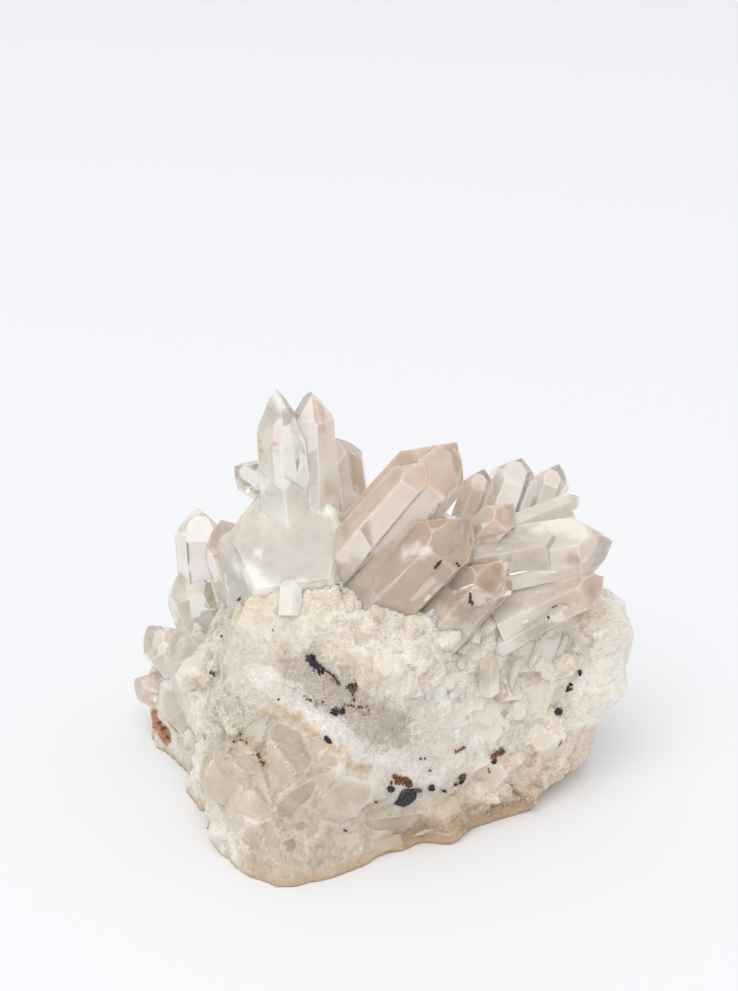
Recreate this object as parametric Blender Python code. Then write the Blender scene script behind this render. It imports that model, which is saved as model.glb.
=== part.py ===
"""A cluster of hazy pink-beige quartz crystals grown together on a lump of milky quartz."""

import math
import random

import bmesh
import bpy
from mathutils import Euler, Matrix, Vector

# Driving dimensions, in metres
CLUSTER_WIDTH = 0.117
GROWTH_GAP = 0.0003

# The cluster is laid out on a grid of steps, each a 117th of its width
STEPS_ACROSS = 117
STEP = CLUSTER_WIDTH / STEPS_ACROSS

# A quartz crystal: its sides, the usual slope of its tip faces, and how little it tapers
SIDES = 6
TIP_SLOPE = 51.8
SIDE_TAPER = 1.6

# Broken quartz: its lumps, each a flat-sided block, and the small crystals fused to it
ROCK_SEED = 11
BLOCK_CUTS = 10
BLOCK_FLATNESS = 0.5
BLOCK_LEAN = 0.3
MAIN_LUMPS = 170
MAIN_LUMP_SIZES = (8, 17)
FLANK_LUMPS = 50
FLANK_LUMP_SIZES = (5, 10)
DRUSE = 24
BACK_SEED = 5
BACK_CRYSTALS = 12

HAZY_QUARTZ = (0.83, 0.72, 0.62, 1.0)
PALE_QUARTZ = (0.86, 0.78, 0.72, 1.0)
MILKY_QUARTZ = (0.87, 0.82, 0.75, 1.0)


def clear_scene():
    for obj in list(bpy.data.objects):
        bpy.data.objects.remove(obj, do_unlink=True)


def new_collection(name):
    collection = bpy.data.collections.new(name)
    bpy.context.scene.collection.children.link(collection)
    return collection


def finish(name, color, roughness):
    """A matt or glossy mineral finish."""
    material = bpy.data.materials.new(name)
    material.use_nodes = True
    shader = material.node_tree.nodes["Principled BSDF"]
    shader.inputs["Base Color"].default_value = color
    shader.inputs["Roughness"].default_value = roughness
    shader.inputs["Metallic"].default_value = 0.0
    return material


def new_object(name, bm, collection):
    mesh = bpy.data.meshes.new(name)
    bm.to_mesh(mesh)
    bm.free()
    obj = bpy.data.objects.new(name, mesh)
    collection.objects.link(obj)
    return obj


def direction(heading, rise):
    """A unit vector from a heading round +Z, from +X, and a rise above level, in degrees."""
    turn, lift = math.radians(heading), math.radians(rise)
    level = math.cos(lift)
    return Vector((level * math.cos(turn), level * math.sin(turn), math.sin(lift)))


def break_off(bm, point, outward):
    """Breaks the solid along a plane, keeps what is behind it and closes the break."""
    everything = bm.verts[:] + bm.edges[:] + bm.faces[:]
    broken = bmesh.ops.bisect_plane(
        bm, geom=everything, dist=1e-7, plane_co=point, plane_no=outward, clear_outer=True
    )
    rim = [item for item in broken["geom_cut"] if isinstance(item, bmesh.types.BMEdge)]
    if len(rim) > 2:
        bmesh.ops.holes_fill(bm, edges=rim, sides=0)


def crystal(foot, tip, width, roll=30, backs=(0, 0.15) * 3, slope=TIP_SLOPE, clearance=0):
    """A six-sided crystal from its foot to its tip, in grid steps.

    backs moves each tip face up the axis, in widths, and clearance moves every face out, in metres.
    """
    foot, tip = Vector(foot) * STEP, Vector(tip) * STEP
    half = width * STEP / 2
    axis = (tip - foot).normalized()
    across = Vector((0, 1, 0)).cross(axis).normalized()
    inward = axis.cross(across)
    taper, lean = math.radians(SIDE_TAPER), math.radians(slope)

    bm = bmesh.new()
    bmesh.ops.create_cube(bm, size=4 * ((tip - foot).length + half))
    bmesh.ops.translate(bm, verts=bm.verts, vec=foot)
    break_off(bm, foot - axis * clearance, -axis)
    for side in range(SIDES):
        turn = math.radians(roll) + math.tau * side / SIDES
        outward = across * math.cos(turn) + inward * math.sin(turn)
        flank = outward * math.cos(taper) + axis * math.sin(taper)
        break_off(bm, foot + outward * half + flank * clearance, flank)
        tip_face = outward * math.sin(lean) + axis * math.cos(lean)
        break_off(bm, tip + axis * half * 2 * backs[side] + tip_face * clearance, tip_face)
    return bm


def spread_directions(count):
    """Directions spread evenly round a ball along a spiral."""
    golden = math.pi * (3 - math.sqrt(5))
    for number in range(count):
        height = 1 - 2 * (number + 0.5) / count
        level = math.sqrt(1 - height * height)
        yield Vector((level * math.cos(golden * number), level * math.sin(golden * number), height))


def broken_block(spot, outward, size, chance):
    """An angular, rather flat lump of broken quartz that lies on a spot of the surface, in metres."""
    bm = bmesh.new()
    bmesh.ops.create_cube(bm, size=4 * size)
    tumble = Euler([chance.uniform(0, math.tau) for _ in range(3)]).to_matrix()
    for facing in spread_directions(BLOCK_CUTS):
        wander = Vector([chance.uniform(-0.35, 0.35) for _ in range(3)])
        facing = tumble @ (facing + wander).normalized()
        break_off(bm, facing * size * chance.uniform(0.36, 0.5), facing)
    bmesh.ops.scale(bm, verts=bm.verts, vec=(1, 1, BLOCK_FLATNESS))
    lean = Vector([chance.uniform(-BLOCK_LEAN, BLOCK_LEAN) for _ in range(3)])
    turn = (outward + lean).to_track_quat("Z", "Y").to_matrix()
    bmesh.ops.rotate(bm, verts=bm.verts, matrix=turn)
    sunk = size * BLOCK_FLATNESS * chance.uniform(0.16, 0.34)
    bmesh.ops.translate(bm, verts=bm.verts, vec=spot - outward * sunk)
    return bm


def combined(name, first, others, operation, helpers):
    """One solid from the first and all the others, by an exact union or difference."""
    pieces = new_collection(f"{name} pieces")
    pieces.hide_render = True
    for number, solid in enumerate(others):
        piece = new_object(f"{name} piece {number}", solid, pieces)
        piece.hide_render = True
        piece.display_type = "WIRE"
    core = new_object(f"{name} core", first, helpers)
    core.hide_render = True
    change = core.modifiers.new(operation.title(), "BOOLEAN")
    change.operation = operation
    change.operand_type = "COLLECTION"
    change.collection = pieces
    change.solver = "EXACT"
    bpy.context.view_layer.update()
    graph = bpy.context.evaluated_depsgraph_get()
    bm = bmesh.new()
    bm.from_mesh(core.evaluated_get(graph).to_mesh())
    bmesh.ops.remove_doubles(bm, verts=bm.verts, dist=1e-6)
    for obj in list(pieces.objects) + [core]:
        bpy.data.objects.remove(obj, do_unlink=True)
    bpy.data.collections.remove(pieces)
    return bm


# The matrix is two chunks of rock. Each has a middle, and the planes it is broken along,
# as a point in grid steps and an outward direction.
MAIN_CHUNK = (Vector((0, 4, 26)), [
    ((-38, -19, 0), direction(-157, 2)),
    ((-33, -26.5, 0), direction(-139, 4)),
    ((-25, -33.5, 0), direction(-121, 6)),
    ((-19, -35.5, 0), direction(-103, 14)),
    ((5, -21.5, 2), direction(-61, 3)),
    ((34, -5, 6), direction(-40, -24)),
    ((1, -32, 24), direction(-83, 36)),
    ((22, -23, 30), direction(-60, 26)),
    ((-36, -8, 50), direction(-152, 18)),
    ((48, 6, 26), direction(-18, -14)),
    ((47, 14, 45), direction(6, 40)),
    ((-28, -6, 58), direction(30, 78)),
    ((-30, -4, 59), direction(-165, 56)),
    ((-40, -6, 4), direction(190, 2)),
    ((-38, 24, 32), direction(168, 40)),
    ((-6, 38, 20), direction(94, 16)),
    ((-38, 38, 10), direction(132, 10)),
    ((34, 32, 20), direction(44, -6)),
    ((16, 28, 42), direction(72, 46)),
])
FLANK_CHUNK = (Vector((-34, 22, 14)), [
    ((-44, 8, 4), direction(212, 3)),
    ((-54, 26, 6), direction(184, 10)),
    ((-46, 38, 10), direction(132, 12)),
    ((-41, 26, 30), direction(176, 36)),
    ((-30, 22, 36), direction(0, 90)),
    ((-20, 22, 20), direction(0, 0)),
    ((-34, 40, 20), direction(90, 10)),
    ((-34, 4, 10), direction(-90, 0)),
])

# The valley across the front: its middle, its half axes and its dip, in grid steps and degrees
VALLEY_MIDDLE = Vector((-3, -34, 41))
VALLEY_HALVES = Vector((32, 11, 10))
VALLEY_DIP = 33


def broken_chunk(breaks):
    bm = bmesh.new()
    bmesh.ops.create_cube(bm, size=3 * CLUSTER_WIDTH)
    for point, outward in breaks:
        break_off(bm, Vector(point) * STEP, outward)
    return bm


def facing_break(aim, middle, breaks):
    """Where a ray from the middle of a chunk leaves it, in grid steps, and which way it faces there."""
    reaches = []
    for point, outward in breaks:
        facing = aim.dot(outward)
        if facing > 0.05:
            reach = (Vector(point) - middle).dot(outward) / facing
            reaches.append((reach, outward))
    reach, outward = min(reaches, key=lambda pair: pair[0])
    return middle + aim * reach, outward


def lumps_over(chunk, count, sizes, chance):
    """Flat-sided lumps all over a chunk, apart from its underside."""
    for aim in spread_directions(count):
        spot, outward = facing_break(aim, *chunk)
        size = chance.uniform(*sizes)
        if spot.z > -size / 2:
            yield broken_block(spot * STEP, outward, size * STEP, chance)


def largest_body(bm):
    """Drops the crumbs that a cut leaves loose."""
    left = set(bm.verts)
    bodies = []
    while left:
        body = {left.pop()}
        fresh = set(body)
        while fresh:
            fresh = {edge.other_vert(vert) for vert in fresh for edge in vert.link_edges} - body
            body |= fresh
        left -= body
        bodies.append(body)
    bodies.sort(key=len)
    crumbs = [vert for body in bodies[:-1] for vert in body]
    bmesh.ops.delete(bm, geom=crumbs, context="VERTS")
    return bm


def druse(chance):
    """Small crystals that lie half sunk in the front, right of the valley."""
    for _ in range(DRUSE):
        aim = Vector((chance.uniform(12, 50), -30, chance.uniform(2, 30))).normalized()
        spot, outward = facing_break(aim, *MAIN_CHUNK)
        along = direction(chance.uniform(-60, 50), chance.uniform(10, 65))
        along = (along - outward * along.dot(outward) * 0.7).normalized()
        width = chance.uniform(2.6, 5)
        foot = spot - outward * width * 0.2 - along * width
        yield crystal(foot, foot + along * width * chance.uniform(2, 3.2), width, chance.uniform(0, 60))


def matrix_solid(pockets, helpers):
    chance = random.Random(ROCK_SEED)
    additions = [broken_chunk(FLANK_CHUNK[1])]
    additions += lumps_over(MAIN_CHUNK, MAIN_LUMPS, MAIN_LUMP_SIZES, chance)
    additions += lumps_over(FLANK_CHUNK, FLANK_LUMPS, FLANK_LUMP_SIZES, chance)
    additions += druse(chance)
    rock = combined("rock", broken_chunk(MAIN_CHUNK[1]), additions, "UNION", helpers)

    valley = bmesh.new()
    bmesh.ops.create_icosphere(valley, subdivisions=3, radius=STEP)
    bmesh.ops.scale(valley, verts=valley.verts, vec=VALLEY_HALVES)
    dip = Matrix.Rotation(math.radians(VALLEY_DIP), 3, "Y")
    bmesh.ops.rotate(valley, verts=valley.verts, matrix=dip)
    bmesh.ops.translate(valley, verts=valley.verts, vec=VALLEY_MIDDLE * STEP)
    rock = combined("hollowed rock", rock, [valley] + pockets, "DIFFERENCE", helpers)
    break_off(rock, Vector((0, 0, 0)), Vector((0, 0, -1)))
    return largest_body(rock)


# The spray: foot, tip and width of each crystal in grid steps, and its roll in degrees
SPRAY = {
    "tall clear": dict(foot=(-21, 2, 60), tip=(-23, 6, 97.1), width=12, roll=0, slope=65),
    "tall hazy": dict(foot=(-14.6, 5, 55), tip=(-15.6, 9, 94.8), width=10.8, roll=10,
                      backs=(0, 0.2, 0.3, 0, 0.05, 0)),
    "behind": dict(foot=(-7.3, 13, 50), tip=(-10.8, 19, 80.2), width=12, roll=0, slope=40),
    "tiny behind": dict(foot=(-1.9, 22, 50), tip=(-1, 24, 72.6), width=4.5, slope=40),
    "big left": dict(foot=(-16, 4, 36), tip=(-23, 7, 78.5), width=30),
    "left nub": dict(foot=(-24, 10, 71.7), tip=(-32.6, 8, 78.3), width=8),
    "leaning": dict(foot=(-14, 4, 48), tip=(15.2, 3, 86.2), width=16.5),
    "lower leaning": dict(foot=(-11, -4, 40), tip=(18, -6, 73), width=16),
    "right small": dict(foot=(14, 9, 50), tip=(21.7, 14, 75), width=7.5),
    "right clear": dict(foot=(20, 12, 48), tip=(30.2, 18, 75.8), width=11, slope=46),
    "right behind": dict(foot=(30, 20, 48), tip=(39, 25, 71.2), width=8.5),
    "thin lying": dict(foot=(24, 8, 62), tip=(42.7, 12, 69), width=5),
    "lying": dict(foot=(22, 2, 60), tip=(49.5, 4, 62.2), width=14.5),
    "right low": dict(foot=(24, -5, 46), tip=(47.5, 0, 55.6), width=11),
    "between": dict(foot=(12, -1, 56), tip=(27.6, 2, 72.3), width=8.5),
    "front small": dict(foot=(11, -10, 46), tip=(24.7, -9, 64.2), width=11),
    "dark tip": dict(foot=(17, -9, 49), tip=(27, -8, 59), width=5),
    "flat lying": dict(foot=(24, -12, 46), tip=(40, -7, 52), width=6),
    "upper left": dict(foot=(-27, 12, 34), tip=(-37, 26, 57), width=13),
}

# The crystals on the left flank, and those on the side below the big left crystal
FLANK = {
    "back left": dict(foot=(-41, 33, 28), tip=(-43.2, 36, 55.2), width=11.5),
    "middle flank": dict(foot=(-38, 24, 22), tip=(-46.6, 34, 41), width=13),
    "lower flank": dict(foot=(-43, 24, 14), tip=(-55.5, 33, 26), width=10.5),
    "low flank": dict(foot=(-47, 25, 9), tip=(-59.2, 31, 12.5), width=8),
}
SIDE = {
    "flat side": dict(foot=(-39, 8, 14), tip=(-46.5, 13, 36), width=11),
    "clear block": dict(foot=(-41, 10, 10), tip=(-50, 13, 20), width=9),
}


def centre_on_base(nodes):
    """Moves the nodes together so that the origin is under the middle of the cluster, at its base."""
    places = [vert.co for node in nodes for vert in node.data.vertices]
    middle = Vector([
        (min(place[way] for place in places) + max(place[way] for place in places)) / 2
        for way in range(2)
    ] + [0])
    for node in nodes:
        node.data.transform(Matrix.Translation(-middle))


def back_crystals():
    """Crystals that fan out from the top and down the back, where the photograph doesn't reach."""
    chance = random.Random(BACK_SEED)
    crystals = {}
    for number in range(BACK_CRYSTALS):
        share = number / (BACK_CRYSTALS - 1)
        side = 34 - 54 * share
        heading = 50 + 68 * share + chance.uniform(-12, 12)
        along = direction(heading, chance.uniform(22, 60))
        foot = Vector((side, chance.uniform(16, 20), chance.uniform(40, 46)))
        crystals[f"back {number}"] = dict(
            foot=foot - along * 9,
            tip=foot + along * chance.uniform(11, 22),
            width=chance.uniform(7, 12),
            roll=chance.uniform(0, 60),
        )
    return crystals


def main():
    clear_scene()
    cluster = new_collection("Quartz cluster")
    helpers = new_collection("Cutters")
    helpers.hide_render = True
    groups = {
        "crystal_spray": (SPRAY | back_crystals(), HAZY_QUARTZ),
        "flank_crystals": (FLANK, PALE_QUARTZ),
        "side_crystals": (SIDE, PALE_QUARTZ),
    }
    shapes = [shape for crystals, _ in groups.values() for shape in crystals.values()]
    pockets = [crystal(**shape, clearance=GROWTH_GAP) for shape in shapes]
    matrix = new_object("matrix", matrix_solid(pockets, helpers), cluster)
    matrix.data.materials.append(finish("Milky quartz", MILKY_QUARTZ, 0.6))
    for name, (crystals, color) in groups.items():
        solids = [crystal(**shape) for shape in crystals.values()]
        grown = combined(name, solids[0], solids[1:], "UNION", helpers)
        node = new_object(name, grown, cluster)
        node.data.materials.append(finish(f"Clear {name}", color, 0.15))
    centre_on_base(cluster.objects)


main()
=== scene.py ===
"""The looks of a cluster of hazy pink-beige quartz crystals on a lump of broken milky quartz."""

import math
import random

import bmesh
import bpy
import numpy as np
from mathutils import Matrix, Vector, kdtree, noise
from mathutils.bvhtree import BVHTree


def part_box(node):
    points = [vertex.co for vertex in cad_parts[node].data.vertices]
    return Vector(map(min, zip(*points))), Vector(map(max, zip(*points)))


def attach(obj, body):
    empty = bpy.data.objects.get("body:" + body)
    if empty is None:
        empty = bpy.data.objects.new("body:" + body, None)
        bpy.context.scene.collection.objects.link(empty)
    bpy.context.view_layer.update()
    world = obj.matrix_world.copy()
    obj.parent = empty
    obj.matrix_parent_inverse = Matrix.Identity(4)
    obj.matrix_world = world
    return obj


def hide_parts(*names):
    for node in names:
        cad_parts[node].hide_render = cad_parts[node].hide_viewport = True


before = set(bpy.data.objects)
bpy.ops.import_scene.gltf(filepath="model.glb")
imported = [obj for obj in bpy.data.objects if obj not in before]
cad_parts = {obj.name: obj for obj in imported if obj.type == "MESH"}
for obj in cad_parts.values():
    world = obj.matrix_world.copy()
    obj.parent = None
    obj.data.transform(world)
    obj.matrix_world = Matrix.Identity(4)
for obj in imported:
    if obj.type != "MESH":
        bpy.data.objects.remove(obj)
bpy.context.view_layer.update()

MM = 0.001

# The photograph's frame, in pixels, and the camera that took it
FRAME_WIDE, FRAME_HIGH = 738, 991
LENS, SENSOR = 85.0, 36.0
CAMERA_PLACE = Vector((-2.34, -457.44, 286.0)) * MM
CAMERA_DIP = 25.0

# Where the middle of the base lies in the grid that the crystals are laid out on
GRID_MIDDLE = Vector((-1.16, 5.04, 0))


# ---------------------------------------------------------------- materials


class Amount:
    """An output in a material's nodes. Numbers can be added, taken away, multiplied and divided."""

    def __init__(self, finish, socket):
        self.finish = finish
        self.socket = socket

    def sum(self, operation, first, second):
        return self.finish.node("ShaderNodeMath", {"operation": operation}, {0: first, 1: second})

    def __add__(self, other):
        return self.sum("ADD", self, other)

    def __radd__(self, other):
        return self.sum("ADD", other, self)

    def __sub__(self, other):
        return self.sum("SUBTRACT", self, other)

    def __rsub__(self, other):
        return self.sum("SUBTRACT", other, self)

    def __mul__(self, other):
        return self.sum("MULTIPLY", self, other)

    def __rmul__(self, other):
        return self.sum("MULTIPLY", other, self)

    def __truediv__(self, other):
        return self.sum("DIVIDE", self, other)

    def __pow__(self, other):
        return self.sum("POWER", self, other)


class Finish:
    """The nodes of one material."""

    def __init__(self, name):
        self.material = bpy.data.materials.new(name)
        self.material.use_nodes = True
        self.tree = self.material.node_tree
        self.tree.nodes.clear()

    def node(self, kind, settings=None, sockets=None, out=0):
        made = self.tree.nodes.new(kind)
        for name, value in (settings or {}).items():
            setattr(made, name, value)
        for name, value in (sockets or {}).items():
            if isinstance(value, Amount):
                self.tree.links.new(value.socket, made.inputs[name])
            else:
                made.inputs[name].default_value = value
        return Amount(self, made.outputs[out])

    def millimetres(self):
        """The place in the object, in millimetres."""
        place = self.node("ShaderNodeTexCoord", out="Object")
        return self.node("ShaderNodeVectorMath", {"operation": "SCALE"}, {0: place, "Scale": 1000.0})

    def noise(self, place, size, detail=3.0, roughness=0.55, warp=0.0, out="Fac"):
        """Soft clouds about size millimetres across."""
        return self.node("ShaderNodeTexNoise", {}, {
            "Vector": place, "Scale": 1.0 / size, "Detail": detail,
            "Roughness": roughness, "Distortion": warp,
        }, out)

    def cells(self, place, size, feature="F1", out="Distance", random=1.0):
        return self.node("ShaderNodeTexVoronoi", {"feature": feature}, {
            "Vector": place, "Scale": 1.0 / size, "Randomness": random,
        }, out)

    def rise(self, amount, low, high, start=0.0, end=1.0):
        """Goes smoothly from start to end while the amount goes from low to high."""
        return self.node("ShaderNodeMapRange", {"interpolation_type": "SMOOTHSTEP"}, {
            "Value": amount, "From Min": low, "From Max": high, "To Min": start, "To Max": end,
        })

    def mix(self, share, first, second):
        """A colour between two colours."""
        return self.node("ShaderNodeMix", {"data_type": "RGBA"}, {0: share, 6: first, 7: second}, 2)

    def spots(self, place, surfaces, marks, ragged):
        """1 near the places that the camera sees at the marks, with ragged edges."""
        share = 0.0
        for across, down, reach in marks:
            seen = sighted(surfaces, across, down)
            if seen:
                away = self.node("ShaderNodeVectorMath", {"operation": "DISTANCE"},
                                 {0: place, 1: seen[0]}, "Value")
                share = share + self.rise(away + ragged, reach * 2.0, 0.0)
        return self.node("ShaderNodeMath", {"operation": "MINIMUM"}, {0: share, 1: 1.0})

    def grains(self, place, size, lean, under=None):
        """The way the surface faces, with grains about size millimetres across that lean each way."""
        own = self.cells(place, size, out="Color")
        lean = self.node("ShaderNodeVectorMath", {"operation": "SCALE"}, {
            0: self.node("ShaderNodeVectorMath", {"operation": "SUBTRACT"}, {0: own, 1: (0.5, 0.5, 0.5)}),
            "Scale": lean,
        })
        facing = under or self.node("ShaderNodeNewGeometry", out="Normal")
        return self.node("ShaderNodeVectorMath", {"operation": "NORMALIZE"}, {
            0: self.node("ShaderNodeVectorMath", {"operation": "ADD"}, {0: facing, 1: lean}),
        })

    def attribute(self, name):
        return self.node("ShaderNodeAttribute", {"attribute_name": name}, {}, "Fac")

    def map_place(self, name, out):
        """One of the two numbers of a named UV map."""
        place = self.node("ShaderNodeUVMap", {"uv_map": name}, {}, "UV")
        return self.node("ShaderNodeSeparateXYZ", {}, {0: place}, out)

    def bump(self, height, depth, strength=1.0, under=None):
        sockets = {"Height": height, "Distance": depth, "Strength": strength}
        if under:
            sockets["Normal"] = under
        return self.node("ShaderNodeBump", {}, sockets)

    def surface(self, shader, volume=None):
        sockets = {"Surface": shader}
        if volume:
            sockets["Volume"] = volume
        made = self.tree.nodes.new("ShaderNodeOutputMaterial")
        for name, value in sockets.items():
            self.tree.links.new(value.socket, made.inputs[name])
        return self.material


def paint(red, green, blue):
    """A colour from its screen values, as a photograph gives them."""
    return [((value / 255 + 0.055) / 1.055) ** 2.4 for value in (red, green, blue)] + [1.0]


# ---------------------------------------------------------------- the camera and its rays

VIEW_RIGHT = Vector((1, 0, 0))
VIEW_AHEAD = Vector((0, math.cos(math.radians(CAMERA_DIP)), -math.sin(math.radians(CAMERA_DIP))))
VIEW_UP = Vector((0, math.sin(math.radians(CAMERA_DIP)), math.cos(math.radians(CAMERA_DIP))))
FOCAL = FRAME_HIGH * LENS / SENSOR


def sight(across, down):
    """The direction in which the camera sees a pixel of the photograph."""
    aim = VIEW_RIGHT * ((across - FRAME_WIDE / 2) / FOCAL)
    aim += VIEW_UP * ((FRAME_HIGH / 2 - down) / FOCAL)
    return (aim + VIEW_AHEAD).normalized()


def sighted(surfaces, across, down):
    """What the camera sees first at a pixel: the place in millimetres and the way it faces."""
    nearest = None
    for surface in surfaces:
        place, facing, _, reach = surface.ray_cast(CAMERA_PLACE, sight(across, down))
        if place and (nearest is None or reach < nearest[2]):
            nearest = (place / MM, facing, reach)
    return nearest


def set_camera():
    lens = bpy.data.cameras.new("camera")
    lens.lens, lens.sensor_width = LENS, SENSOR
    lens.clip_start, lens.clip_end = 0.01, 20
    camera = bpy.data.objects.new("camera", lens)
    camera.location = CAMERA_PLACE
    camera.rotation_euler = (math.radians(90 - CAMERA_DIP), 0, 0)
    bpy.context.scene.collection.objects.link(camera)
    bpy.context.scene.camera = camera


# ---------------------------------------------------------------- making solids


def new_object(name, bm, material=None):
    mesh = bpy.data.meshes.new(name)
    bm.to_mesh(mesh)
    bm.free()
    if material:
        mesh.materials.append(material)
    made = bpy.data.objects.new(name, mesh)
    bpy.context.scene.collection.objects.link(made)
    return made


def rank(places):
    """The number of each place when they are put in order, as sorting keys."""
    ranks = np.empty(len(places))
    ranks[np.lexsort(np.array(places).T)] = np.arange(len(places))
    return ranks


def in_order(mesh):
    """Puts a mesh's points, edges and faces in one order, because a modifier's own order varies."""
    bm = bmesh.new()
    bm.from_mesh(mesh)
    points = rank([vertex.co[:] for vertex in bm.verts])
    edges = rank([sorted(points[vertex.index] for vertex in edge.verts) for edge in bm.edges])
    faces = rank([face.calc_center_median()[:] for face in bm.faces])
    bm.verts.sort(key=lambda vertex: points[vertex.index])
    bm.edges.sort(key=lambda edge: edges[edge.index])
    bm.faces.sort(key=lambda face: faces[face.index])
    bm.to_mesh(mesh)
    bm.free()


def changed(piece, kind, **settings):
    """Replaces a piece's mesh by what a modifier makes of it."""
    change = piece.modifiers.new(kind.title(), kind)
    for name, value in settings.items():
        setattr(change, name, value)
    bpy.context.view_layer.update()
    graph = bpy.context.evaluated_depsgraph_get()
    mesh = bpy.data.meshes.new_from_object(piece.evaluated_get(graph), depsgraph=graph)
    in_order(mesh)
    piece.modifiers.clear()
    piece.data = mesh
    return piece


def break_off(bm, point, outward):
    """Breaks the solid along a plane, keeps what is behind it and closes the break."""
    everything = bm.verts[:] + bm.edges[:] + bm.faces[:]
    broken = bmesh.ops.bisect_plane(
        bm, geom=everything, dist=1e-8, plane_co=point, plane_no=outward, clear_outer=True
    )
    rim = [item for item in broken["geom_cut"] if isinstance(item, bmesh.types.BMEdge)]
    if len(rim) > 2:
        bmesh.ops.holes_fill(bm, edges=rim, sides=0)


def round_edges(bm, width, segments=1):
    """Wears every edge down, and gives back the new faces along them."""
    made = bmesh.ops.bevel(
        bm, geom=bm.edges[:], offset=width, offset_type="OFFSET", affect="EDGES",
        segments=segments, profile=0.5, material=-1, clamp_overlap=True,
    )
    return made["faces"]


SIDES = 6
TIP_SLOPE = 51.8
SIDE_TAPER = 1.6


def map_faces(bm, edges, along, clear, pink, smoke):
    """Gives a glassy solid the maps that its finish reads.

    The map growth holds how far along its bare length a point is, and how smoky it is. The map
    nature holds how clear and how pink it is. The map face holds a number of each face's own, and
    rises from 0 at the face's edge to 1 a little way in.
    """
    broad = [face for face in bm.faces if face not in edges and face.calc_area() > 3 * MM * MM]
    rims = set()
    for face in broad:
        border = min(1.1 * MM, 0.6 * face.calc_area() / face.calc_perimeter())
        rims.update(bmesh.ops.inset_individual(bm, faces=[face], thickness=border)["faces"])
    broad = set(broad)
    growth = bm.loops.layers.uv.new("growth")
    nature = bm.loops.layers.uv.new("nature")
    side = bm.loops.layers.uv.new("face")
    for face in bm.faces:
        shade = (face.normal.dot(Vector((3.71, 5.13, 2.37))) + pink * 7 + clear * 3) % 1.0
        for corner in face.loops:
            vertex = corner.vert
            inner = face in broad or (face in rims and any(near in broad for near in vertex.link_faces))
            corner[growth].uv = (along(vertex.co), smoke)
            corner[nature].uv = (clear, pink)
            corner[side].uv = (shade, float(inner))


def crystal(foot, tip, width, roll=30, backs=(0, 0.15) * 3, slope=TIP_SLOPE, worn=0.09,
            clear=0.3, pink=0.5, smoke=0.0, buried=0.0):
    """A six-sided crystal from its foot to its tip, with worn edges, in metres from millimetres."""
    foot, tip = Vector(foot) * MM, Vector(tip) * MM
    half = width * MM / 2
    length = (tip - foot).length
    axis = (tip - foot) / length
    across = Vector((0, 1, 0)).cross(axis).normalized()
    inward = axis.cross(across)
    taper, lean = math.radians(SIDE_TAPER), math.radians(slope)
    bm = bmesh.new()
    bmesh.ops.create_cube(bm, size=4 * (length + half))
    bmesh.ops.translate(bm, verts=bm.verts, vec=foot)
    break_off(bm, foot, -axis)
    for side in range(SIDES):
        turn = math.radians(roll) + math.tau * side / SIDES
        outward = across * math.cos(turn) + inward * math.sin(turn)
        flank = outward * math.cos(taper) + axis * math.sin(taper)
        break_off(bm, foot + outward * half, flank)
        tip_face = outward * math.sin(lean) + axis * math.cos(lean)
        break_off(bm, tip + axis * half * 2 * backs[side], tip_face)
    edges = set(round_edges(bm, worn * MM)) if worn else set()

    def along(place):
        return ((place - foot).dot(axis) / length - buried) / (1 - buried)

    map_faces(bm, edges, along, clear, pink, smoke)
    return bm


def joined(name, solids):
    """One closed solid from solids that overlap, joined one after another."""
    core = new_object(name, solids[0])
    for solid in solids[1:]:
        piece = new_object("next crystal", solid)
        changed(core, "BOOLEAN", operation="UNION", object=piece, solver="EXACT")
        bpy.data.objects.remove(piece, do_unlink=True)
    return core


def laid_together(bms):
    """One bmesh from many that don't touch."""
    whole = bmesh.new()
    for bm in bms:
        mesh = bpy.data.meshes.new("part of a whole")
        bm.to_mesh(mesh)
        bm.free()
        whole.from_mesh(mesh)
        bpy.data.meshes.remove(mesh)
    return whole


# ---------------------------------------------------------------- the crystals

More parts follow.
